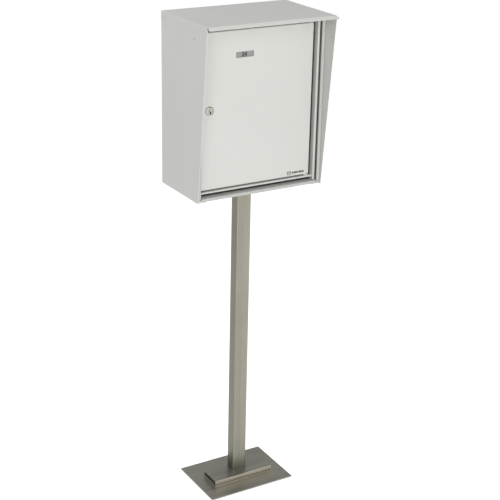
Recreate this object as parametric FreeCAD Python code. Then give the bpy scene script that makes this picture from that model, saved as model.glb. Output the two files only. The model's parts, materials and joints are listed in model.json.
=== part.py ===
"""Post-mounted letter box: a folded sheet-metal cabinet with a canopy, on a stainless steel post.

Units are millimetres.  The row frame has +Z up and its origin under the post, on the base plate's
rest face; the door faces -Y.  Cabinet parts are drawn in cabinet coordinates (x from the middle,
y back from the lower front edge of the side panels, z up from the underside) and moved by `save_box`.
"""
import FreeCAD, Part
import math
import os

V = FreeCAD.Vector

# ---- driving dimensions ------------------------------------------------------------------------
# Stand
BASE_W, BASE_D, BASE_T = 250.0, 180.0, 3.0      # base plate
FOOT_W, FOOT_D, FOOT_H = 175.0, 64.0, 17.0      # foot under the post, strip and channel together
FOOT_STRIP_T = 6.5                              # flat strip under the foot channel
FOOT_WALL = 2.5                                 # foot channel sheet
FOOT_Y = -8.0                                   # middle of the foot, measured from the post's middle
SEAM_D, SEAM_H = 1.2, 2.0                       # rebate that leaves a seam between strip and channel
POST_W, POST_D, POST_WALL, POST_R = 40.0, 30.0, 2.0, 2.2
HEAD_W, HEAD_D, HEAD_T = 120.0, 100.0, 4.0      # plate on top of the post
BOLT_DX, BOLT_DY = 90.0, 70.0                   # bolt spacing on the head plate

# Cabinet
BOX_W, BOX_H = 352.0, 432.0                     # outside width and height
BOX_D = 188.0                                   # depth of the side panels at the bottom
CANOPY = 40.0                                   # how far the roof leans out past the bottom edge
LIP_OUT, LIP_DROP = 10.0, 6.0                   # drip lip at the roof's front
NOTCH_R, NOTCH_DROP = 2.2, 5.0                  # bend relief at both ends of the drip lip
REAR_LIP = 23.0                                 # fold down behind the back panel
SHEET = 1.5                                     # all cabinet sheet
BEND = 0.7                                      # inside bend radius of that sheet
BOX_BASE_Z = 843.0                              # underside of the cabinet above the ground
HOOD_RETURN = 25.0                              # bottom returns of the hood

# Door opening
FLANGE_Y, FLANGE_X = 4.0, 165.3                 # casing front flange: its plane and its inner edge
SILL_H, SILL_D = 9.5, 20.5                      # lower front flange: its height and its top ledge
JAMB_Y, JAMB_IN, JAMB_OUT = 14.0, 160.0, 166.3  # jamb front plane, inner face and outer face
JAMB_RETURN_Y = 29.5                            # back edge of the jamb's inner return
JAMB_FOOT_Y = 31.5                              # front face of the jamb's foot
RAIL_Y, RAIL_BACK_Y = 19.5, 41.0                # bottom rail front and back faces
RAIL_Z, RAIL_LIP = 20.0, 3.8                    # its top face and the height of its front lip
TOP_RAIL_Y, TOP_RAIL_Z0, TOP_RAIL_Z1 = 39.0, 380.0, 400.0
TOP_RAIL_DEPTH = 21.0                           # slot sill behind the door

# Door
DOOR_LEFT, DOOR_RIGHT = -156.0, 152.4           # the hinge side, on the right, has the wider gap
DOOR_Y, DOOR_T = 22.0, 12.0                     # front plane and tray depth
DOOR_Z0, DOOR_Z1 = 23.8, 406.0
DOOR_LIP = 10.0                                 # inward lips behind the top, bottom and hinge sides
HINGE_X, HINGE_Y = 145.4, 28.0                  # pivot axis
PIN_R, BUSH_BORE_R, BUSH_R, BUSH_FLANGE_R = 2.5, 2.56, 4.0, 5.5
LOCK_X, LOCK_Z = -134.2, 219.6                  # lock axis
LOCK_FLANGE_R, LOCK_BARREL_R = 11.0, 9.5
PLUG_R, PLUG_BORE_R = 7.6, 7.65
KEYWAY_TURN = 18.0                              # keyway's lean from straight down, in degrees
CAM_LEN, CAM_W, CAM_T = 32.0, 14.0, 2.0
CAM_Y = 36.0                                    # front face of the cam
CAM_SQUARE = 7.0
WINDOW_X, WINDOW_Z, WINDOW_W, WINDOW_H = -40.0, 346.8, 48.5, 14.0

# Fasteners
RIVET_HEAD_R, RIVET_HEAD_T, RIVET_R, RIVET_TAIL_R = 2.9, 0.8, 1.6, 2.4
BOLT_R, BOLT_HOLE_R, BOLT_AF, BOLT_HEAD_H = 3.0, 3.3, 10.0, 4.0
NUT_H, WASHER_R, WASHER_T = 5.0, 6.0, 1.6

# ---- worked out from them ----------------------------------------------------------------------
BOX_FRONT_Y = -BOX_D / 2                        # the post stands under the middle of the cabinet floor
FOOT_TOP = BASE_T + FOOT_H
HALF_W = BOX_W / 2
WALL_OUT = HALF_W - SHEET                       # outer face of the casing walls, inside the hood
WALL_IN = WALL_OUT - SHEET
ROOF_Z = BOX_H - SHEET                          # underside of the roof
CASING_TOP = ROOF_Z - BEND                      # casing walls stop clear of the hood's bends
CASING_FOOT = SHEET + BEND
PAN_TOP = 2 * SHEET                             # inner face of the floor
BACK_IN = BOX_D - SHEET                         # inner face of the back panel
HEAD_Z = BOX_BASE_Z + SHEET - HEAD_T            # head plate underside
EPS = 1.0                                       # overshoot of cutting tools

os.makedirs("parts", exist_ok=True)


# ---- helpers -----------------------------------------------------------------------------------
def save(name, shape):
    shape.exportStep("parts/%s.step" % name)


def save_box(name, shape):
    """Save a part drawn in cabinet coordinates."""
    placed = shape.copy()
    placed.translate(V(0, BOX_FRONT_Y, BOX_BASE_Z))
    save(name, placed)


def block(x0, x1, y0, y1, z0, z1):
    return Part.makeBox(x1 - x0, y1 - y0, z1 - z0, V(x0, y0, z0))


def rod(radius, start, end):
    axis = end - start
    return Part.makeCylinder(radius, axis.Length, start, axis)


def fuse(shapes):
    return shapes[0].multiFuse(shapes[1:]).removeSplitter()


def corner_arc(before, corner, after, radius):
    """Tangent points and middle point of the arc that rounds one corner."""
    back = (before - corner).normalize()
    on = (after - corner).normalize()
    half = back.getAngle(on) / 2
    reach = radius / math.tan(half)
    middle = (back + on).normalize()
    top = corner + middle * (radius / math.sin(half) - radius)
    return corner + back * reach, top, corner + on * reach


def outline(points, radii):
    """Closed wire through 3-D corner points, each corner rounded by its radius."""
    count = len(points)
    spans = []
    for i in range(count):
        corner = points[i]
        if radii[i] > 0:
            spans.append(corner_arc(points[i - 1], corner, points[(i + 1) % count], radii[i]))
        else:
            spans.append((corner, None, corner))
    edges = []
    for i in range(count):
        start, middle, end = spans[i]
        if middle is not None:
            edges.append(Part.Arc(start, middle, end).toShape())
        following = spans[(i + 1) % count][0]
        if end.distanceToPoint(following) > 1e-6:
            edges.append(Part.LineSegment(end, following).toShape())
    return Part.Wire(edges)


def on_axis(axis, u, v, w):
    """Point at (u, v) across an axis and w along it: x takes (y, z), y takes (x, z), z takes (x, y)."""
    return {"x": V(w, u, v), "y": V(u, w, v), "z": V(u, v, w)}[axis]


def prism(axis, points, radii, low, high):
    """Extrude a rounded outline along an axis between two positions."""
    wire = outline([on_axis(axis, u, v, low) for u, v in points], radii)
    return Part.Face(wire).extrude(on_axis(axis, 0, 0, high - low))


def folded(axis, path, side, low, high, thick=SHEET, bend=BEND):
    """Folded sheet: `path` is one face of the section, the metal lies on its `side` (+1 left, -1 right)."""
    normals = []
    for (u0, v0), (u1, v1) in zip(path, path[1:]):
        length = math.hypot(u1 - u0, v1 - v0)
        normals.append((-side * (v1 - v0) / length, side * (u1 - u0) / length))
    far = [(path[0][0] + normals[0][0] * thick, path[0][1] + normals[0][1] * thick)]
    near_r, far_r = [0.0], [0.0]
    for i in range(1, len(path) - 1):
        (nu0, nv0), (nu1, nv1) = normals[i - 1], normals[i]
        scale = thick / (1 + nu0 * nu1 + nv0 * nv1)
        far.append((path[i][0] + (nu0 + nu1) * scale, path[i][1] + (nv0 + nv1) * scale))
        turn = (nu0 * nv1 - nv0 * nu1) * side
        near_r.append(bend + thick if turn > 0 else bend)
        far_r.append(bend if turn > 0 else bend + thick)
    far.append((path[-1][0] + normals[-1][0] * thick, path[-1][1] + normals[-1][1] * thick))
    near_r.append(0.0)
    far_r.append(0.0)
    return prism(axis, path + far[::-1], near_r + far_r[::-1], low, high)


def hexagon(across_flats, height, x, y, z, hole_r=0.0):
    """Hexagonal prism along Z with chamfered-looking round crown, bored when hole_r is set."""
    corner_r = across_flats / math.sqrt(3)
    points = [(x + corner_r * math.cos(math.radians(60 * i)),
               y + corner_r * math.sin(math.radians(60 * i))) for i in range(6)]
    body = prism("z", points, [0.0] * 6, z, z + height)
    crown = Part.makeCone(corner_r + 0.8, corner_r - 0.7, height, V(x, y, z))
    body = body.common(crown)
    if hole_r:
        body = body.cut(rod(hole_r, V(x, y, z - EPS), V(x, y, z + height + EPS)))
    return body


def bolt_places():
    return [(sx * BOLT_DX / 2, sy * BOLT_DY / 2) for sx in (-1, 1) for sy in (-1, 1)]


# ---- stand -------------------------------------------------------------------------------------
def base_plate():
    plate = block(-BASE_W / 2, BASE_W / 2, -BASE_D / 2, BASE_D / 2, 0, BASE_T)
    uprights = [e for e in plate.Edges if abs(e.tangentAt(e.FirstParameter).z) > 0.9]
    return plate.makeFillet(1.0, uprights)


def foot_strip():
    y0, y1 = FOOT_Y - FOOT_D / 2, FOOT_Y + FOOT_D / 2
    z1 = BASE_T + FOOT_STRIP_T
    section = [(y0, BASE_T), (y1, BASE_T), (y1, z1 - SEAM_H), (y1 - SEAM_D, z1 - SEAM_H), (y1 - SEAM_D, z1),
               (y0 + SEAM_D, z1), (y0 + SEAM_D, z1 - SEAM_H), (y0, z1 - SEAM_H)]
    return prism("x", section, [0.0] * len(section), -FOOT_W / 2, FOOT_W / 2)


def foot_channel():
    """Downturned channel, open at both ends, with its legs on the strip."""
    y0, y1 = FOOT_Y - FOOT_D / 2, FOOT_Y + FOOT_D / 2
    z0 = BASE_T + FOOT_STRIP_T
    section = [(y0, z0), (y0, FOOT_TOP), (y1, FOOT_TOP), (y1, z0),
               (y1 - FOOT_WALL, z0), (y1 - FOOT_WALL, FOOT_TOP - FOOT_WALL),
               (y0 + FOOT_WALL, FOOT_TOP - FOOT_WALL), (y0 + FOOT_WALL, z0)]
    radii = [0, 1.2, 1.2, 0, 0, 0.6, 0.6, 0]
    return prism("x", section, radii, -FOOT_W / 2, FOOT_W / 2)


def rectangle(half_w, half_d):
    return [(-half_w, -half_d), (half_w, -half_d), (half_w, half_d), (-half_w, half_d)]


def post_tube():
    outer = prism("z", rectangle(POST_W / 2, POST_D / 2), [POST_R] * 4, FOOT_TOP, HEAD_Z)
    inner = prism("z", rectangle(POST_W / 2 - POST_WALL, POST_D / 2 - POST_WALL), [POST_R / 2] * 4,
                  FOOT_TOP - EPS, HEAD_Z + EPS)
    return outer.cut(inner)


def drill_bolts(shape, z0, z1):
    for x, y in bolt_places():
        shape = shape.cut(rod(BOLT_HOLE_R, V(x, y, z0), V(x, y, z1)))
    return shape


def post_head_plate():
    plate = prism("z", rectangle(HEAD_W / 2, HEAD_D / 2), [6.0] * 4, HEAD_Z, HEAD_Z + HEAD_T)
    return drill_bolts(plate, HEAD_Z - EPS, HEAD_Z + HEAD_T + EPS)


def cabinet_bolts():
    """Bolts up through the head plate and the cabinet floor."""
    nut_top = BOX_BASE_Z + PAN_TOP + WASHER_T + NUT_H
    bolts = []
    for x, y in bolt_places():
        head = hexagon(BOLT_AF, BOLT_HEAD_H, x, y, HEAD_Z - BOLT_HEAD_H)
        shank = rod(BOLT_R, V(x, y, HEAD_Z - 0.5), V(x, y, nut_top + 1.5))
        bolts.append(head.fuse(shank).removeSplitter())
    return Part.makeCompound(bolts)


def cabinet_washers():
    z0 = BOX_BASE_Z + PAN_TOP
    rings = []
    for x, y in bolt_places():
        ring = rod(WASHER_R, V(x, y, z0), V(x, y, z0 + WASHER_T))
        rings.append(ring.cut(rod(BOLT_HOLE_R, V(x, y, z0 - EPS), V(x, y, z0 + WASHER_T + EPS))))
    return Part.makeCompound(rings)


def cabinet_nuts():
    z0 = BOX_BASE_Z + PAN_TOP + WASHER_T
    return Part.makeCompound([hexagon(BOLT_AF, NUT_H, x, y, z0, BOLT_R) for x, y in bolt_places()])


# ---- hood and casing ---------------------------------------------------------------------------
def side_rivet_places():
    """(y, z) of the rivets through each side of the hood."""
    return [(175.5, 418.0), (20.0, 395.0)]


def floor_rivet_places():
    """(x, y) of the rivets through the hood's bottom returns."""
    return [(sx * (HALF_W - 14.0), y) for sx in (-1, 1) for y in (30.0, 160.0)]


def drill_rivets(shape):
    for y, z in side_rivet_places():
        shape = shape.cut(rod(RIVET_R, V(-HALF_W - EPS, y, z), V(-WALL_IN + EPS, y, z)))
        shape = shape.cut(rod(RIVET_R, V(WALL_IN - EPS, y, z), V(HALF_W + EPS, y, z)))
    for x, y in floor_rivet_places():
        shape = shape.cut(rod(RIVET_R, V(x, y, -EPS), V(x, y, PAN_TOP + EPS)))
    return shape


def roof_lips():
    """Drip lip at the front and fold-down at the back, both across the full width."""
    inset = BEND + SHEET
    front = folded("x", [(-CANOPY + 6, BOX_H), (-CANOPY, BOX_H), (-CANOPY - LIP_OUT, BOX_H - LIP_DROP)],
                   1, -HALF_W, HALF_W)
    rear = folded("x", [(BOX_D + SHEET, BOX_H - REAR_LIP), (BOX_D + SHEET, BOX_H), (BOX_D - 6, BOX_H)],
                  1, -HALF_W, HALF_W)
    lips = front.fuse(rear)
    for sx in (-1, 1):
        x0, x1 = sorted((sx * (HALF_W - inset), sx * (HALF_W + EPS)))
        lips = lips.cut(block(x0, x1, -CANOPY, BOX_D, ROOF_Z - EPS, BOX_H + EPS))
    return lips


def hood_shell():
    """Roof, both sides and their bottom returns, folded from one sheet."""
    path = [(-HALF_W + HOOD_RETURN, 0), (-HALF_W, 0), (-HALF_W, BOX_H),
            (HALF_W, BOX_H), (HALF_W, 0), (HALF_W - HOOD_RETURN, 0)]
    shell = folded("y", path, -1, -CANOPY, BOX_D)
    slant = [(-CANOPY - EPS, BOX_H - LIP_DROP), (-CANOPY, BOX_H - LIP_DROP), (0, 0), (0, -EPS),
             (-CANOPY - EPS, -EPS)]
    shell = shell.cut(prism("x", slant, [0.0] * 5, -HALF_W - EPS, HALF_W + EPS))
    for sx in (-1, 1):
        x0, x1 = sorted((sx * (WALL_OUT - 0.01), sx * (HALF_W - HOOD_RETURN - EPS)))
        shell = shell.cut(block(x0, x1, -EPS, 6.0, -EPS, SHEET + EPS))
        shell = shell.cut(block(x0, x1, BACK_IN, BOX_D + EPS, -EPS, SHEET + EPS))
    shell = fuse([shell, roof_lips()])
    for sx in (-1, 1):
        notch = V(sx * (HALF_W - 1.0), -CANOPY - 1.0, BOX_H - NOTCH_DROP)
        shell = shell.cut(rod(NOTCH_R, notch, notch + V(0, 0, NOTCH_DROP + EPS)))
    return drill_rivets(shell)


def casing_wall(sx):
    """Side wall with a front flange round the door and a rear flange for the back panel."""
    path = [(sx * FLANGE_X, FLANGE_Y), (sx * WALL_OUT, FLANGE_Y),
            (sx * WALL_OUT, BACK_IN), (sx * (WALL_OUT - 12.0), BACK_IN)]
    wall = folded("z", path, sx, CASING_FOOT, CASING_TOP)
    x0, x1 = sorted((sx * (FLANGE_X - EPS), sx * WALL_IN))
    wall = wall.cut(block(x0, x1, FLANGE_Y - EPS, FLANGE_Y + 3.0, SHEET - EPS, SILL_H))
    x0, x1 = sorted((sx * (WALL_OUT - 13.0), sx * WALL_IN))
    wall = wall.cut(block(x0, x1, BACK_IN - 4.0, BACK_IN + EPS, SHEET - EPS, PAN_TOP))
    return drill_rivets(wall)


def casing_floor():
    """Floor pan whose front edge folds up and back as a ledge under the door frame."""
    path = [(FLANGE_Y + SILL_D, SILL_H), (FLANGE_Y, SILL_H), (FLANGE_Y, SHEET), (BACK_IN, SHEET)]
    pan = folded("x", path, 1, -WALL_IN, WALL_IN)
    for x, y in bolt_places():
        pan = pan.cut(rod(BOLT_HOLE_R, V(x, y + BOX_D / 2, -EPS), V(x, y + BOX_D / 2, PAN_TOP + EPS)))
    for sx in (-1, 1):
        relief = V(sx * (FLANGE_X + 0.5), FLANGE_Y - EPS, SILL_H - 0.5)
        pan = pan.cut(rod(2.2, relief, relief + V(0, 4.0, 0)))
    return drill_rivets(pan)


def casing_back():
    return block(-WALL_OUT, WALL_OUT, BACK_IN, BOX_D, CASING_FOOT, CASING_TOP)


def hood_rivets():
    """Low-head blind rivets that hold the hood to the casing."""
    def rivet(head, inward, grip):
        back = head - inward * RIVET_HEAD_T
        dome = Part.makeCone(RIVET_HEAD_R - 1.1, RIVET_HEAD_R, RIVET_HEAD_T, back, inward)
        shank = rod(RIVET_R, head - inward * 0.2, head + inward * (grip + 0.5))
        tail = rod(RIVET_TAIL_R, head + inward * grip, head + inward * (grip + 2.0))
        return dome.multiFuse([shank, tail]).removeSplitter()

    rivets = []
    for sx in (-1, 1):
        for y, z in side_rivet_places():
            rivets.append(rivet(V(sx * HALF_W, y, z), V(-sx, 0, 0), 2 * SHEET))
    for x, y in floor_rivet_places():
        rivets.append(rivet(V(x, y, 0), V(0, 0, 1), PAN_TOP))
    return Part.makeCompound(rivets)


# ---- door frame --------------------------------------------------------------------------------
def frame_jamb(sx):
    """Upright beside the door: a narrow front face, a return beside the door and a foot on the wall."""
    path = [(sx * JAMB_IN, JAMB_RETURN_Y), (sx * JAMB_IN, JAMB_Y), (sx * JAMB_OUT, JAMB_Y),
            (sx * JAMB_OUT, JAMB_FOOT_Y), (sx * WALL_IN, JAMB_FOOT_Y)]
    return folded("z", path, sx, SILL_H, ROOF_Z)


def frame_bottom_rail():
    """Rail under the door, with a drain gap between its front lip and the ledge below."""
    path = [(RAIL_Y, RAIL_Z - RAIL_LIP), (RAIL_Y, RAIL_Z), (RAIL_BACK_Y, RAIL_Z),
            (RAIL_BACK_Y, RAIL_Z - 9.0)]
    rail = folded("x", path, -1, -JAMB_IN, JAMB_IN)
    return rail.cut(rod(PIN_R, V(HINGE_X, HINGE_Y, RAIL_Z - 3), V(HINGE_X, HINGE_Y, RAIL_Z + EPS)))


def frame_top_rail():
    """Stop behind the top of the door, turned back as the sill of the mail slot."""
    back = TOP_RAIL_Y + TOP_RAIL_DEPTH
    path = [(TOP_RAIL_Y, TOP_RAIL_Z0), (TOP_RAIL_Y, TOP_RAIL_Z1), (back, TOP_RAIL_Z1),
            (back + 5.0, TOP_RAIL_Z1 - 8.0)]
    return folded("x", path, -1, -WALL_IN, WALL_IN)


def strike_plate():
    """Plate behind the left jamb's foot that the cam turns behind."""
    y0 = JAMB_FOOT_Y + SHEET
    edge = -JAMB_IN + 1.0
    plate = block(-WALL_IN, edge, y0, y0 + 2.5, LOCK_Z - 18.0, LOCK_Z + 18.0)
    inner = [e for e in plate.Edges if e.BoundBox.XMin > edge - 0.1 and e.BoundBox.YLength > 1.0]
    return plate.makeFillet(3.0, inner)


def hinge_bracket_lower():
    """Thick plate welded under the bottom rail to carry the lower pin."""
    z1 = RAIL_Z - SHEET
    plate = block(HINGE_X - 12.0, JAMB_IN, HINGE_Y - 6.0, HINGE_Y + 10.0, z1 - 2.5, z1)
    return plate.cut(rod(PIN_R, V(HINGE_X, HINGE_Y, z1 - 3.5), V(HINGE_X, HINGE_Y, z1 + EPS)))


def hinge_bracket_upper():
    """Angle on the right jamb, above the door, that carries the upper pin."""
    z0 = DOOR_Z1 + 1.5
    ear = block(HINGE_X - 6.0, JAMB_IN, HINGE_Y - 4.0, HINGE_Y + 7.0, z0, z0 + 2.5)
    tab = block(JAMB_IN - 2.0, JAMB_IN, HINGE_Y - 13.0, HINGE_Y - 2.0, z0, z0 + 15.0)
    bridge = block(JAMB_IN - 2.0, JAMB_IN, HINGE_Y - 4.0, HINGE_Y + 7.0, z0, z0 + 4.0)
    bracket = fuse([ear, tab, bridge])
    return bracket.cut(rod(PIN_R, V(HINGE_X, HINGE_Y, z0 - EPS), V(HINGE_X, HINGE_Y, z0 + 3.5)))


def hinge_pin(head_z, up):
    """Headed pivot pin; `up` is the direction from the head into the door."""
    head_t, head_r, length = 1.5, 3.8, 17.5
    start, end = V(HINGE_X, HINGE_Y, head_z), V(HINGE_X, HINGE_Y, head_z + up * length)
    head = rod(head_r, start - V(0, 0, up * head_t), start)
    shank = rod(PIN_R, start, end)
    tip = [e for e in shank.Edges if abs(e.BoundBox.ZMin - end.z) < 0.01 and e.BoundBox.ZLength < 0.01]
    return head.fuse(shank.makeChamfer(0.6, tip)).removeSplitter()


def door_bumpers():
    """Rubber pads that the closed door rests against, two on each rail."""
    front, back = DOOR_Y + DOOR_T + 0.4, TOP_RAIL_Y
    pads = []
    for x in (-95.0, 95.0):
        for z0, z1 in ((RAIL_Z, RAIL_Z + 9.0), (TOP_RAIL_Z1 - 12.0, TOP_RAIL_Z1 - 2.5)):
            pad = block(x - 7.0, x + 7.0, front, back, z0, z1)
            face = [e for e in pad.Edges if e.BoundBox.YMax < front + 0.01]
            pads.append(pad.makeFillet(1.0, face))
    return Part.makeCompound(pads)


# ---- door --------------------------------------------------------------------------------------
def door_panel():
    """Folded tray: front skin, four returns, and lips behind all of them but the lock side."""
    back = DOOR_Y + DOOR_T
    tray = block(DOOR_LEFT, DOOR_RIGHT, DOOR_Y, back, DOOR_Z0, DOOR_Z1)
    front = [e for e in tray.Edges if e.BoundBox.YMax < DOOR_Y + 0.01]
    corners = [e for e in tray.Edges if e.BoundBox.YLength > DOOR_T - 0.1]
    tray = tray.makeFillet(BEND + SHEET, front + corners)
    pocket = block(DOOR_LEFT + SHEET, DOOR_RIGHT - SHEET, DOOR_Y + SHEET, back - SHEET,
                   DOOR_Z0 + SHEET, DOOR_Z1 - SHEET)
    mouth = block(DOOR_LEFT + SHEET, DOOR_RIGHT - DOOR_LIP, back - SHEET - EPS, back + EPS,
                  DOOR_Z0 + DOOR_LIP, DOOR_Z1 - DOOR_LIP)
    tray = tray.cut(pocket).cut(mouth)
    tray = tray.cut(rod(LOCK_BARREL_R, V(LOCK_X, DOOR_Y - EPS, LOCK_Z), V(LOCK_X, back, LOCK_Z)))
    tray = tray.cut(rod(BUSH_R, V(HINGE_X, HINGE_Y, DOOR_Z0 - EPS), V(HINGE_X, HINGE_Y, DOOR_Z0 + 3)))
    tray = tray.cut(rod(BUSH_R, V(HINGE_X, HINGE_Y, DOOR_Z1 - 3), V(HINGE_X, HINGE_Y, DOOR_Z1 + EPS)))
    return tray.cut(window_block(0, DOOR_Y - EPS, DOOR_Y + SHEET + EPS))


def window_block(margin, y0, y1):
    """Block on the name window's place, larger all round by a margin."""
    half_w, half_h = WINDOW_W / 2 + margin, WINDOW_H / 2 + margin
    return block(WINDOW_X - half_w, WINDOW_X + half_w, y0, y1, WINDOW_Z - half_h, WINDOW_Z + half_h)


def name_window():
    """Clear plate with a raised middle that fills the cut-out in the door."""
    skin = DOOR_Y + SHEET
    return fuse([window_block(2.5, skin, skin + 1.0), window_block(-0.1, DOOR_Y + 0.3, skin)])


def name_card():
    card_y = DOOR_Y + SHEET + 1.3
    return window_block(2.3, card_y, card_y + 0.4)


def name_holder():
    """Shallow cover on the inside of the door that holds the window and the card."""
    skin = DOOR_Y + SHEET
    cover = window_block(6.0, skin, skin + 3.2)
    rim = [e for e in cover.Edges if e.BoundBox.YMin > skin + 3.1]
    return cover.makeFillet(0.8, rim).cut(window_block(2.6, skin - EPS, skin + 1.8))


def hinge_bush(flange_z, up):
    """Flanged nylon bush; `up` is the direction from the flange into the door."""
    flange_t = DOOR_Z0 - RAIL_Z - 0.5 if up > 0 else 1.0
    base = V(HINGE_X, HINGE_Y, flange_z)
    flange = rod(BUSH_FLANGE_R, base - V(0, 0, up * flange_t), base)
    barrel = rod(BUSH_R, base - V(0, 0, up * 0.5), base + V(0, 0, up * 10.5))
    bore = rod(BUSH_BORE_R, base - V(0, 0, up * (flange_t + EPS)), base + V(0, 0, up * (10.5 + EPS)))
    return flange.fuse(barrel).removeSplitter().cut(bore)


# ---- lock --------------------------------------------------------------------------------------
def along_lock(radius, y0, y1):
    return rod(radius, V(LOCK_X, y0, LOCK_Z), V(LOCK_X, y1, LOCK_Z))


def lock_body():
    """Cylinder housing: rounded flange outside the door and a barrel through it."""
    back = DOOR_Y + DOOR_T
    flange = along_lock(LOCK_FLANGE_R, DOOR_Y - 3.0, DOOR_Y)
    front = [e for e in flange.Edges if abs(e.BoundBox.YMax - (DOOR_Y - 3.0)) < 0.01]
    flange = flange.makeFillet(2.0, front)
    body = flange.fuse(along_lock(LOCK_BARREL_R, DOOR_Y - 1.0, back)).removeSplitter()
    return body.cut(along_lock(PLUG_BORE_R, DOOR_Y - 5.0, back + EPS))


def lock_nut():
    skin = DOOR_Y + SHEET
    nut = hexagon(23.0, 4.0, 0, 0, 0, LOCK_BARREL_R)
    nut.rotate(V(0, 0, 0), V(1, 0, 0), -90)
    nut.translate(V(LOCK_X, skin, LOCK_Z))
    return nut


def lock_plug():
    """Turning core with its keyway, and a square tail for the cam."""
    face, back, cam_back = DOOR_Y - 2.4, DOOR_Y + DOOR_T, CAM_Y + CAM_T
    core = along_lock(PLUG_R, face, back + 0.5)
    neck = along_lock(5.2, back, CAM_Y)
    half = CAM_SQUARE / 2 - 0.02
    tail = block(LOCK_X - half, LOCK_X + half, CAM_Y - 0.5, cam_back, LOCK_Z - half, LOCK_Z + half)
    plug = fuse([core, neck, tail])
    mouth = prism("y", [(-0.9, -1.0), (-2.7, -6.9), (2.7, -6.9), (0.9, -1.0)], [0.6, 1.7, 1.7, 0.6],
                  face - EPS, face + 9.0)
    blade = block(-0.8, 0.8, face - EPS, face + 9.0, -6.4, 2.4)
    keyway = fuse([mouth, blade])
    keyway.rotate(V(0, 0, 0), V(0, 1, 0), -KEYWAY_TURN)
    keyway.translate(V(LOCK_X, 0, LOCK_Z))
    thread = along_lock(2.0, back - 4.0, cam_back + EPS)
    return plug.cut(keyway).cut(thread)


def lock_cam():
    """Flat cam, stored hanging down, with a square hole for the plug."""
    half = CAM_W / 2
    points = [(LOCK_X - half, LOCK_Z + half), (LOCK_X - half, LOCK_Z - CAM_LEN),
              (LOCK_X + half, LOCK_Z - CAM_LEN), (LOCK_X + half, LOCK_Z + half)]
    cam = prism("y", points, [5.0, 2.5, 2.5, 5.0], CAM_Y, CAM_Y + CAM_T)
    half = CAM_SQUARE / 2
    return cam.cut(block(LOCK_X - half, LOCK_X + half, CAM_Y - EPS, CAM_Y + CAM_T + EPS,
                         LOCK_Z - half, LOCK_Z + half))


def cam_washer():
    y0 = CAM_Y + CAM_T
    return along_lock(6.0, y0, y0 + 1.0).cut(along_lock(2.1, y0 - EPS, y0 + 2.0))


def cam_screw():
    y0 = CAM_Y + CAM_T + 1.0
    head = along_lock(4.0, y0, y0 + 2.4)
    rim = [e for e in head.Edges if abs(e.BoundBox.YMin - (y0 + 2.4)) < 0.01]
    head = head.makeFillet(0.9, rim)
    screw = head.fuse(along_lock(2.0, DOOR_Y + DOOR_T - 3.0, y0 + 0.5)).removeSplitter()
    for angle in (0, 90):
        wing = block(-2.3, 2.3, y0 + 1.2, y0 + 4.0, -0.4, 0.4)
        wing.rotate(V(0, 0, 0), V(0, 1, 0), angle)
        wing.translate(V(LOCK_X, 0, LOCK_Z))
        screw = screw.cut(wing)
    return screw


# ---- write the parts ---------------------------------------------------------------------------
STAND = {
    "base_plate": base_plate(),
    "foot_strip": foot_strip(),
    "foot_channel": foot_channel(),
    "post_tube": post_tube(),
    "post_head_plate": post_head_plate(),
    "cabinet_bolts": cabinet_bolts(),
    "cabinet_washers": cabinet_washers(),
    "cabinet_nuts": cabinet_nuts(),
}
CABINET = {
    "hood_shell": hood_shell(),
    "casing_left_wall": casing_wall(-1),
    "casing_right_wall": casing_wall(1),
    "casing_floor": casing_floor(),
    "casing_back": casing_back(),
    "hood_rivets": hood_rivets(),
    "frame_left_jamb": frame_jamb(-1),
    "frame_right_jamb": frame_jamb(1),
    "frame_bottom_rail": frame_bottom_rail(),
    "frame_top_rail": frame_top_rail(),
    "strike_plate": strike_plate(),
    "hinge_bracket_lower": hinge_bracket_lower(),
    "hinge_bracket_upper": hinge_bracket_upper(),
    "hinge_pin_lower": hinge_pin(RAIL_Z - SHEET - 2.5, 1),
    "hinge_pin_upper": hinge_pin(DOOR_Z1 + 4.0, -1),
    "door_bumpers": door_bumpers(),
    "door_panel": door_panel(),
    "name_window": name_window(),
    "name_card": name_card(),
    "name_holder": name_holder(),
    "hinge_bush_lower": hinge_bush(DOOR_Z0, 1),
    "hinge_bush_upper": hinge_bush(DOOR_Z1, -1),
    "lock_body": lock_body(),
    "lock_nut": lock_nut(),
    "lock_plug": lock_plug(),
    "lock_cam": lock_cam(),
    "cam_washer": cam_washer(),
    "cam_screw": cam_screw(),
}
for part_name, part_shape in STAND.items():
    save(part_name, part_shape)
for part_name, part_shape in CABINET.items():
    save_box(part_name, part_shape)
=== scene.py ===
"""Looks of the post-mounted letter box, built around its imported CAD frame.  Metres throughout."""

import json
import math

import bmesh
import bpy
from mathutils import Matrix, Vector


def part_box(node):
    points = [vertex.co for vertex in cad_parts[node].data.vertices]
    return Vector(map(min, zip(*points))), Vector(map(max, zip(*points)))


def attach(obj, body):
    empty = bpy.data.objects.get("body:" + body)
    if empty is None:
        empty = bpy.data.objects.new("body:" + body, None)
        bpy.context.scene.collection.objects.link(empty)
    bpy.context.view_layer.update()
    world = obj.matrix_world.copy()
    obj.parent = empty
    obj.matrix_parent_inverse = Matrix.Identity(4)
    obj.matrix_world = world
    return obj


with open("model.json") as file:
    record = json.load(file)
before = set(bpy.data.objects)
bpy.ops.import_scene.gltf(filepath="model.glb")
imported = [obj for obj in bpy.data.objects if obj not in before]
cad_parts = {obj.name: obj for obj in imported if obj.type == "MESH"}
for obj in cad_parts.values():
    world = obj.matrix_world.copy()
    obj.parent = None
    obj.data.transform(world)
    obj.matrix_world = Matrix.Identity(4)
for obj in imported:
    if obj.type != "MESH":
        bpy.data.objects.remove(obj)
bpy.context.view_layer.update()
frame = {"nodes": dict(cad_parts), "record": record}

MM = 0.001
RECORD = frame["record"]

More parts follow.
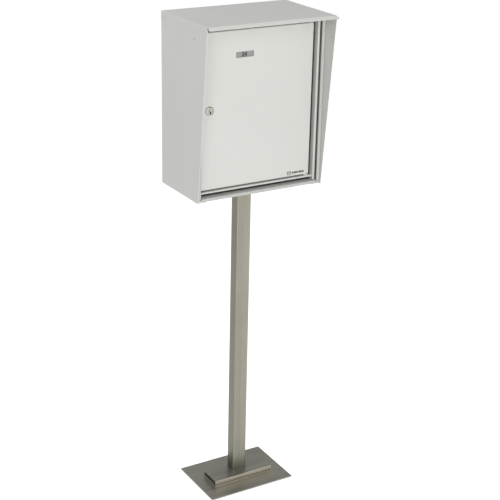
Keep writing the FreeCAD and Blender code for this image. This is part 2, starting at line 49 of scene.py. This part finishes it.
# ---- places taken from the frame ---------------------------------------------------------------
DOOR_LOW, DOOR_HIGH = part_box("door_panel")
CARD_LOW, CARD_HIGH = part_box("name_card")
POST_LOW, POST_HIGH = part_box("post_tube")
STRIP_LOW, STRIP_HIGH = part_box("foot_strip")
PLATE_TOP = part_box("base_plate")[1].z
DOOR_FACE_Y = DOOR_LOW[1]


# ---- camera and light --------------------------------------------------------------------------
def direction(azimuth, elevation):
    """Unit vector from the object towards a viewer; azimuth 0 is in front, at -Y."""
    a, e = math.radians(azimuth), math.radians(elevation)
    return Vector((math.sin(a) * math.cos(e), -math.cos(a) * math.cos(e), math.sin(e)))


CAMERA_AZIMUTH, CAMERA_ELEVATION, CAMERA_ROLL = -31.11, 21.42, 1.27
CAMERA_DISTANCE, CAMERA_TARGET = 3.234, Vector((0.029, 0.0, 0.6566))
SENSOR_MM, LENS_MM, VIEW_DEPTH = 36.0, 90.15, 60.0


def make_camera():
    roll = math.radians(CAMERA_ROLL)
    back = direction(CAMERA_AZIMUTH, CAMERA_ELEVATION)
    flat_right = Vector((-back.y, back.x, 0)).normalized()
    flat_up = back.cross(flat_right)
    right = flat_right * math.cos(roll) + flat_up * math.sin(roll)
    up = back.cross(right)
    data = bpy.data.cameras.new("camera")
    data.sensor_width = SENSOR_MM
    data.lens = LENS_MM
    data.clip_end = VIEW_DEPTH
    camera = bpy.data.objects.new("camera", data)
    turn = Matrix((right, up, back)).transposed().to_4x4()
    camera.matrix_world = Matrix.Translation(CAMERA_TARGET + back * CAMERA_DISTANCE) @ turn
    bpy.context.collection.objects.link(camera)
    bpy.context.scene.camera = camera


WHITE = (1.0, 1.0, 1.0)
WARM_WHITE = (1.0, 0.995, 0.98)
WORLD_COLOUR, WORLD_STRENGTH = (0.99, 1.0, 1.0, 1.0), 0.42
# name, place, height aimed at on the object's axis, (width, height), power in watts, colour
SOFTBOXES = (
    ("front_softbox", (-0.15, -3.4, 1.15), 0.85, (1.4, 1.8), 61.0, WARM_WHITE),
    ("fill_softbox", (-2.3, -2.3, 2.3), 0.95, (1.0, 1.2), 20.0, WHITE),
    ("left_softbox", (-3.3, 0.5, 1.9), 1.0, (1.2, 1.6), 21.0, WHITE),
    ("roof_softbox", (-0.3, 0.9, 3.6), 1.0, (1.8, 1.8), 22.0, WHITE),
)


def soft_light(name, place, aim_z, size, power, colour):
    data = bpy.data.lights.new(name, "AREA")
    data.shape = "RECTANGLE"
    data.size, data.size_y = size
    data.energy = power
    data.color = colour
    light = bpy.data.objects.new(name, data)
    light.location = place
    towards = Vector((0.0, 0.0, aim_z)) - Vector(place)
    light.rotation_euler = towards.to_track_quat("-Z", "Y").to_euler()
    bpy.context.collection.objects.link(light)


def make_light():
    world = bpy.data.worlds.new("studio")
    world.use_nodes = True
    background = world.node_tree.nodes["Background"]
    background.inputs["Color"].default_value = WORLD_COLOUR
    background.inputs["Strength"].default_value = WORLD_STRENGTH
    bpy.context.scene.world = world
    for box in SOFTBOXES:
        soft_light(*box)
    bpy.context.scene.view_settings.view_transform = "Standard"


# ---- material helpers --------------------------------------------------------------------------
class Shader:
    """A material with short calls for the nodes used here."""

    def __init__(self, name):
        self.material = bpy.data.materials.new(name)
        self.material.use_nodes = True
        self.tree = self.material.node_tree
        self.surface = self.tree.nodes["Principled BSDF"]
        where = self.tree.nodes.new("ShaderNodeTexCoord")
        self.place, self.normal = where.outputs["Object"], where.outputs["Normal"]

    def set(self, **values):
        for key, value in values.items():
            self.surface.inputs[key.replace("_", " ")].default_value = value
        return self

    def link(self, source, socket):
        self.tree.links.new(source, self.surface.inputs[socket])

    def stretched(self, scale):
        node = self.tree.nodes.new("ShaderNodeMapping")
        node.inputs["Scale"].default_value = scale
        self.tree.links.new(self.place, node.inputs["Vector"])
        return node.outputs["Vector"]

    def along(self, axis):
        node = self.tree.nodes.new("ShaderNodeSeparateXYZ")
        self.tree.links.new(self.place, node.inputs["Vector"])
        return node.outputs[axis]

    def front_face(self):
        """1 on faces that look towards -Y, 0 elsewhere."""
        node = self.tree.nodes.new("ShaderNodeSeparateXYZ")
        self.tree.links.new(self.normal, node.inputs["Vector"])
        return self.spread(node.outputs["Y"], 1.0, 0.0, -0.9, -0.4)

    def times(self, one, other):
        node = self.tree.nodes.new("ShaderNodeMath")
        node.operation = "MULTIPLY"
        self.tree.links.new(one, node.inputs[0])
        self.tree.links.new(other, node.inputs[1])
        return node.outputs["Value"]

    def noise(self, scale, detail=2.0, rough=0.5, stretch=(1, 1, 1)):
        node = self.tree.nodes.new("ShaderNodeTexNoise")
        node.inputs["Scale"].default_value = scale
        node.inputs["Detail"].default_value = detail
        node.inputs["Roughness"].default_value = rough
        self.tree.links.new(self.stretched(stretch), node.inputs["Vector"])
        return node.outputs["Fac"]

    def spread(self, source, low, high, start=0.3, end=0.7):
        node = self.tree.nodes.new("ShaderNodeMapRange")
        node.inputs["From Min"].default_value = start
        node.inputs["From Max"].default_value = end
        node.inputs["To Min"].default_value = low
        node.inputs["To Max"].default_value = high
        self.tree.links.new(source, node.inputs["Value"])
        return node.outputs["Result"]

    def mix(self, factor, dark, light):
        node = self.tree.nodes.new("ShaderNodeMix")
        node.data_type = "RGBA"
        self.tree.links.new(factor, node.inputs["Factor"])
        for socket, colour in ((node.inputs["A"], dark), (node.inputs["B"], light)):
            if isinstance(colour, tuple):
                socket.default_value = (*colour, 1.0)
            else:
                self.tree.links.new(colour, socket)
        return node.outputs["Result"]

    def product(self, first, second):
        node = self.tree.nodes.new("ShaderNodeMix")
        node.data_type = "RGBA"
        node.blend_type = "MULTIPLY"
        node.inputs["Factor"].default_value = 1.0
        self.tree.links.new(first, node.inputs["A"])
        self.tree.links.new(second, node.inputs["B"])
        return node.outputs["Result"]

    def bump(self, source, strength, height, under=None):
        node = self.tree.nodes.new("ShaderNodeBump")
        node.inputs["Strength"].default_value = strength
        node.inputs["Distance"].default_value = height
        self.tree.links.new(source, node.inputs["Height"])
        if under is not None:
            self.tree.links.new(under, node.inputs["Normal"])
        return node.outputs["Normal"]


def grey(value, tint=(1.0, 1.0, 1.0)):
    return tuple(value * t for t in tint)


# ---- materials ---------------------------------------------------------------------------------
def powder_coat(name, tone, tint):
    """Satin light-grey polyester powder: orange-peel skin, fine grain and faint cloudy tone."""
    s = Shader(name).set(IOR=1.48)
    clouds = s.spread(s.noise(4.0, 4.0), 0.0, 1.0)
    base = s.mix(clouds, grey(tone * 0.975, tint), grey(tone * 1.02, tint))
    grain = s.spread(s.noise(1400.0, 2.0), 0.0, 1.0)
    speck = s.mix(grain, grey(0.965), grey(1.0))
    s.link(s.product(base, speck), "Base Color")
    s.link(s.spread(s.noise(60.0, 3.0), 0.38, 0.52), "Roughness")
    peel = s.bump(s.noise(420.0, 2.0), 0.12, 0.0002)
    s.link(s.bump(s.noise(1500.0, 2.0), 0.10, 0.0001, peel), "Normal")
    return s.material


# Painted light on the steel: the lightened front tone fades in over this height above the base
# plate.
RAISED_FADE = 0.4 * MM  # height over which the front tone comes in above the base plate


def brushed_steel(name, tone, tint, stretch, rough, streak, front):
    """Ground stainless steel: hair lines along one direction, over slow tonal patches.

    `front` scales the colour of the faces towards -Y above the base plate.  This is painted light:
    those faces are lightened as if the front lamps lit them more; it is not a second finish.
    """
    s = Shader(name).set(Metallic=1.0)
    hair = s.noise(1.0, 6.0, 0.7, stretch)
    broad = s.noise(1.0, 3.0, 0.6, tuple(v * 0.12 for v in stretch))
    lines = s.mix(s.spread(hair, 0.0, 1.0), grey(1.0 - streak), grey(1.0))
    dark, light = grey(tone * 0.9, tint), grey(tone * 1.1, tint)
    patches = s.mix(s.spread(broad, 0.0, 1.0), dark, light)
    stains = s.mix(s.spread(s.noise(14.0, 5.0, 0.6), 0.0, 1.0), grey(0.9), grey(1.0))
    steel = s.product(s.product(patches, lines), stains)
    raised = s.spread(s.along("Z"), 0.0, 1.0, PLATE_TOP, PLATE_TOP + RAISED_FADE)
    # Painted light: a colour gain that lightens the faces towards -Y above the base plate.
    painted_front_light = s.mix(s.times(s.front_face(), raised), grey(1.0), front)
    s.link(s.product(steel, painted_front_light), "Base Color")
    s.link(s.spread(hair, rough - 0.07, rough + 0.09), "Roughness")
    s.link(s.bump(hair, 0.25, 0.00006), "Normal")
    return s.material


def plated(name, tone, tint, rough):
    """Plated steel or nickel: bright, with faint cells, wipe marks and handling scuffs."""
    s = Shader(name).set(Metallic=1.0)
    cloud = s.spread(s.noise(90.0, 4.0), 0.0, 1.0)
    base = s.mix(cloud, grey(tone * 0.88, tint), grey(tone, tint))
    scuff = s.spread(s.noise(1.0, 5.0, 0.7, (900, 900, 2600)), 0.0, 1.0)
    s.link(s.product(base, s.mix(scuff, grey(0.9), grey(1.0))), "Base Color")
    s.link(s.spread(s.noise(260.0, 4.0), rough - 0.06, rough + 0.1), "Roughness")
    s.link(s.bump(s.noise(800.0, 3.0), 0.12, 0.00005), "Normal")
    return s.material


def weld_steel():
    """Weld metal: heat-tinted and coarser than the sheet round it."""
    s = Shader("weld_steel").set(Metallic=1.0)
    tint = s.spread(s.noise(180.0, 4.0), 0.0, 1.0)
    s.link(s.mix(tint, (0.16, 0.14, 0.12), (0.30, 0.28, 0.25)), "Base Color")
    s.link(s.spread(s.noise(500.0, 3.0), 0.38, 0.6), "Roughness")
    s.link(s.bump(s.noise(900.0, 3.0), 0.3, 0.0001), "Normal")
    return s.material


def moulded(name, tone, tint, rough, bump):
    """Moulded nylon or rubber with a spark-eroded skin."""
    s = Shader(name)
    cloud = s.spread(s.noise(120.0, 4.0), 0.0, 1.0)
    s.link(s.mix(cloud, grey(tone * 0.88, tint), grey(tone * 1.06, tint)), "Base Color")
    s.link(s.spread(s.noise(700.0, 2.0), rough - 0.06, rough + 0.08), "Roughness")
    s.link(s.bump(s.noise(1600.0, 3.0), bump, 0.0001), "Normal")
    return s.material


def clear_acrylic():
    """Clear window: mostly see-through, with a polished face and faint wipe marks."""
    s = Shader("clear_acrylic").set(IOR=1.49, Alpha=0.03)
    haze = s.spread(s.noise(300.0, 4.0), 0.0, 1.0)
    s.link(s.mix(haze, (0.82, 0.85, 0.85), (0.9, 0.93, 0.93)), "Base Color")
    s.link(s.spread(s.noise(160.0, 4.0), 0.05, 0.16), "Roughness")
    return s.material


def card_paper():
    """Grey printed card with a little fibre."""
    s = Shader("card_paper")
    fibre = s.spread(s.noise(1.0, 5.0, 0.7, (900, 900, 2600)), 0.0, 1.0)
    s.link(s.mix(fibre, (0.272, 0.275, 0.258), (0.333, 0.335, 0.316)), "Base Color")
    s.link(s.spread(fibre, 0.75, 0.9), "Roughness")
    s.link(s.bump(fibre, 0.2, 0.00005), "Normal")
    return s.material


def printed_ink():
    """Dark screen-printed ink with slightly uneven cover."""
    s = Shader("printed_ink")
    cover = s.spread(s.noise(1500.0, 3.0), 0.0, 1.0)
    s.link(s.mix(cover, (0.008, 0.008, 0.009), (0.025, 0.025, 0.026)), "Base Color")
    s.link(s.spread(s.noise(500.0, 2.0), 0.4, 0.55), "Roughness")
    return s.material


def stage_floor():
    """White studio floor that gives off its own light, a little more in front than behind."""
    s = Shader("stage_floor").set(Roughness=0.9)
    s.set(Base_Color=(0.9, 0.9, 0.9, 1.0), Emission_Color=(1.0, 1.0, 1.0, 1.0))
    s.link(s.spread(s.along("Y"), 0.64, 0.62, -2.0, 1.0), "Emission Strength")
    return s.material


COAT_TINT = (1.0, 1.01, 0.965)
STEEL_TINT = (1.0, 0.96, 0.84)
POST_TINT = (1.0, 0.935, 0.75)
# Painted light: colour gains that lighten the faces of the post and the base steel that look
# towards -Y.
POST_PAINTED_FRONT_LIGHT = (1.56, 1.60, 1.66)
BASE_PAINTED_FRONT_LIGHT = (1.6, 1.55, 1.48)
MATERIALS = {
    "powder_coat": powder_coat("powder_coat", 0.665, COAT_TINT),
    # casing_coat is the same powder coat as powder_coat, at a darker tone.
    "casing_coat": powder_coat("casing_coat", 0.52, COAT_TINT),
    "stainless_post": brushed_steel("stainless_post", 0.185, POST_TINT, (700, 700, 5), 0.34, 0.14,
                                    POST_PAINTED_FRONT_LIGHT),
    "stainless_base": brushed_steel("stainless_base", 0.46, STEEL_TINT, (9, 520, 520), 0.42, 0.22,
                                    BASE_PAINTED_FRONT_LIGHT),
    "zinc_steel": plated("zinc_steel", 0.62, (1.0, 1.01, 1.03), 0.32),
    "nickel": plated("nickel", 0.415, (1.0, 0.96, 0.87), 0.3),
    "nylon": moulded("nylon", 0.66, (1.0, 1.0, 0.95), 0.45, 0.1),
    "black_rubber": moulded("black_rubber", 0.03, (1.0, 1.0, 1.0), 0.75, 0.25),
    "clear_acrylic": clear_acrylic(),
    "printed_card": card_paper(),
}
WELD = weld_steel()
INK = printed_ink()
# Painted shade: near-black brownish colour for the strip in the foot's seam.
SEAM_SHADE = moulded("painted_seam_shade", 0.02, (1.0, 0.62, 0.42), 0.7, 0.2)


def dress_frame():
    """Give every CAD node the material of its slot."""
    for part in RECORD["subparts"]:
        node = frame["nodes"][part["node"]]
        node.data.materials.clear()
        node.data.materials.append(MATERIALS[part["material_slot"]])


# ---- pieces ------------------------------------------------------------------------------------
def add_piece(name, mesh, material, body):
    piece = bpy.data.objects.new(name, mesh)
    mesh.materials.clear()
    mesh.materials.append(material)
    bpy.context.collection.objects.link(piece)
    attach(piece, body)


def mesh_from(name, verts, faces):
    mesh = bpy.data.meshes.new(name)
    mesh.from_pydata(verts, [], faces)
    bm = bmesh.new()
    bm.from_mesh(mesh)
    bmesh.ops.recalc_face_normals(bm, faces=bm.faces)
    bm.to_mesh(mesh)
    bm.free()
    return mesh


BEAD_SPACING = 0.9 * MM
BEAD_SIDES = 8
RIPPLE_PITCH, RIPPLE_DEPTH = 3.2, 0.16  # the pitch is in points of the path
DRIFT_RATE, DRIFT_DEPTH = 0.37, 0.1  # slower unevenness of a hand-made bead


def loop_path(half_x, half_y, corner, z, steps):
    """Points round a rounded rectangle in a level plane, evenly enough spaced for a bead."""
    points = []
    for quarter in range(4):
        sx = 1 if quarter in (0, 3) else -1
        sy = 1 if quarter in (0, 1) else -1
        for i in range(steps + 1):
            a = math.radians(90 * (quarter + i / steps))
            points.append(Vector((sx * (half_x - corner) + corner * math.cos(a),
                                  sy * (half_y - corner) + corner * math.sin(a), z)))
    dense = []
    for here, there in zip(points, points[1:] + points[:1]):
        count = max(1, round((there - here).length / BEAD_SPACING))
        dense += [here.lerp(there, k / count) for k in range(count)]
    return dense


def weld_bead(name, path, radius, body):
    """Closed fillet bead along a level loop, with the ripples that a hand weld leaves."""
    verts, faces = [], []
    count = len(path)
    for i, point in enumerate(path):
        along = (path[(i + 1) % count] - path[i - 1]).normalized()
        out = along.cross(Vector((0, 0, 1)))
        ripple = RIPPLE_DEPTH * math.sin(2 * math.pi * i / RIPPLE_PITCH)
        swell = radius * (1 + ripple + DRIFT_DEPTH * math.sin(i * DRIFT_RATE))
        for k in range(BEAD_SIDES):
            a = 2 * math.pi * k / BEAD_SIDES
            rise = Vector((0, 0, swell * math.sin(a)))
            verts.append(point + out * (swell * math.cos(a)) + rise)
    for i in range(count):
        ring, next_ring = i * BEAD_SIDES, ((i + 1) % count) * BEAD_SIDES
        for k in range(BEAD_SIDES):
            after = (k + 1) % BEAD_SIDES
            faces.append((ring + k, ring + after, next_ring + after, next_ring + k))
    mesh = mesh_from(name, verts, faces)
    mesh.shade_smooth()
    add_piece(name, mesh, WELD, body)


CAP_SHARE = 0.7  # height of a figure over the font's size
PEN_GAIN = 0.085  # thickening of the strokes over the height of a figure
MERGE_DISTANCE = 1e-6


def text_mesh(name, words, height, depth):
    """Solid lettering in the XZ plane, centred on the origin, facing -Y."""
    curve = bpy.data.curves.new(name, "FONT")
    curve.body = words
    curve.size = height / CAP_SHARE
    curve.extrude = depth / 2
    curve.offset = height * PEN_GAIN
    curve.align_x, curve.align_y = "CENTER", "CENTER"
    curve.resolution_u = 6
    holder = bpy.data.objects.new(name, curve)
    bpy.context.collection.objects.link(holder)
    bpy.context.view_layer.update()
    solid = holder.evaluated_get(bpy.context.evaluated_depsgraph_get())
    shape = bpy.data.meshes.new_from_object(solid)
    bpy.data.objects.remove(holder)
    shape.transform(Matrix.Rotation(math.radians(90), 4, "X"))
    bm = bmesh.new()
    bm.from_mesh(shape)
    bmesh.ops.remove_doubles(bm, verts=bm.verts, dist=MERGE_DISTANCE)
    bm.to_mesh(shape)
    bm.free()
    return shape


NUMBER_HEIGHT, NUMBER_DEPTH = 10.0 * MM, 0.12 * MM


def house_number():
    """Generic number printed on the card behind the window."""
    mesh = text_mesh("card_number", "24", NUMBER_HEIGHT, NUMBER_DEPTH)
    middle = (CARD_LOW + CARD_HIGH) / 2
    across = [v.co.x for v in mesh.vertices]
    rise = [v.co.z for v in mesh.vertices]
    centre = Vector(((min(across) + max(across)) / 2, 0, (min(rise) + max(rise)) / 2))
    place = Vector((middle.x, CARD_LOW.y - NUMBER_DEPTH / 2, middle.z))
    mesh.transform(Matrix.Translation(place - centre))
    add_piece("card_number", mesh, INK, "door")


def prisms_mesh(name, prisms):
    """One mesh from several prisms, each given as its vertices and faces."""
    verts, faces = [], []
    for more_verts, more_faces in prisms:
        faces += [tuple(len(verts) + i for i in face) for face in more_faces]
        verts += more_verts
    return mesh_from(name, verts, faces)


def prism_xz(outline, y_front, y_back):
    """Closed prism over an outline of (x, z) points, between two depths."""
    count = len(outline)
    verts = [Vector((x, y, z)) for y in (y_front, y_back) for x, z in outline]
    faces = [tuple(range(count)), tuple(range(2 * count - 1, count - 1, -1))]
    faces += [(i, (i + 1) % count, count + (i + 1) % count, count + i) for i in range(count)]
    return verts, faces


def bar(x0, x1, z0, z1):
    return [(x0, z0), (x1, z0), (x1, z1), (x0, z1)]


def stroke(start, end, width):
    """Corner points of a straight line drawn with a pen of some width, in the (x, z) plane."""
    (x0, z0), (x1, z1) = start, end
    length = math.hypot(x1 - x0, z1 - z0)
    nx, nz = -(z1 - z0) / length * width / 2, (x1 - x0) / length * width / 2
    return [(x0 + nx, z0 + nz), (x0 - nx, z0 - nz), (x1 - nx, z1 - nz), (x1 + nx, z1 + nz)]


PEN = 1.5 * MM
MARK_WIDTH, MARK_HEIGHT = 12.0 * MM, 8.6 * MM
MARK_FROM_RIGHT, MARK_FROM_FOOT = 64.0 * MM, 4.8 * MM
FOLD_SHARE = 0.42  # height of the flap's point over the envelope's height
DASH_LENGTHS = (5.2, 8.0, 4.0, 6.8, 5.4)  # millimetres
DASH_START, DASH_GAP = 2.8 * MM, 1.2  # the gap is in millimetres
DASH_LOW, DASH_HIGH = 1.9 * MM, 6.6 * MM
INK_PROUD, INK_SUNK = 0.06 * MM, 0.04 * MM


def envelope_mark():
    """Small generic print low on the door: an envelope outline and plain dashes."""
    x0, z0 = DOOR_HIGH.x - MARK_FROM_RIGHT, DOOR_LOW.z + MARK_FROM_FOOT
    x1, z1 = x0 + MARK_WIDTH, z0 + MARK_HEIGHT
    fold = (x0 + MARK_WIDTH / 2, z0 + MARK_HEIGHT * FOLD_SHARE)
    shapes = [bar(x0, x1, z0, z0 + PEN), bar(x0, x1, z1 - PEN, z1),
              bar(x0, x0 + PEN, z0 + PEN, z1 - PEN), bar(x1 - PEN, x1, z0 + PEN, z1 - PEN),
              stroke((x0 + PEN, z1 - PEN), fold, PEN), stroke(fold, (x1 - PEN, z1 - PEN), PEN)]
    dash_x = x1 + DASH_START
    for length in DASH_LENGTHS:
        shapes.append(bar(dash_x, dash_x + length * MM, z0 + DASH_LOW, z0 + DASH_HIGH))
        dash_x += (length + DASH_GAP) * MM
    y_front, y_back = DOOR_FACE_Y - INK_PROUD, DOOR_FACE_Y + INK_SUNK
    mesh = prisms_mesh("envelope_mark", [prism_xz(shape, y_front, y_back) for shape in shapes])
    add_piece("envelope_mark", mesh, INK, "door")


WELD_OFFSET, WELD_CORNER, WELD_RADIUS = 0.1 * MM, 2.2 * MM, 1.3 * MM
CORNER_STEPS = 4


def post_welds():
    """Fillet beads round the two ends of the post, which is centred on the Z axis."""
    half_x, half_y = POST_HIGH.x + WELD_OFFSET, POST_HIGH.y + WELD_OFFSET
    for name, z in (("post_foot_weld", POST_LOW.z), ("post_head_weld", POST_HIGH.z)):
        path = loop_path(half_x, half_y, WELD_CORNER, z, CORNER_STEPS)
        weld_bead(name, path, WELD_RADIUS, "cabinet")


# Painted shade: inset and size of the dark strip in the foot's seam.
SHADE_INSET, SHADE_DEPTH, SHADE_HEIGHT = 0.4 * MM, 0.8 * MM, 2.0 * MM


def foot_seam():
    """Painted shade: a dark strip in the rebate between the foot's strip and its channel, front and
    back, where the seam lies in shadow.
    """
    outline = bar(STRIP_LOW.x + SHADE_INSET, STRIP_HIGH.x - SHADE_INSET,
                  STRIP_HIGH.z - SHADE_HEIGHT, STRIP_HIGH.z)
    fronts = (STRIP_LOW.y + SHADE_INSET, STRIP_HIGH.y - SHADE_INSET - SHADE_DEPTH)
    mesh = prisms_mesh("foot_seam_painted_shade", [prism_xz(outline, y, y + SHADE_DEPTH) for y in fronts])
    add_piece("foot_seam_painted_shade", mesh, SEAM_SHADE, "cabinet")


FLOOR_SIZE, FLOOR_DROP = 40.0, 0.0002


def make_stage():
    """Floor just under the part.  It is hidden from diffuse rays, so it doesn't light the part."""
    bpy.ops.mesh.primitive_plane_add(size=FLOOR_SIZE, location=(0, 0, -FLOOR_DROP))
    floor = bpy.context.object
    floor.name = "stage_floor"
    floor.data.materials.append(stage_floor())
    floor.visible_diffuse = False


make_camera()
make_light()
make_stage()
dress_frame()
post_welds()
foot_seam()
house_number()
envelope_mark()
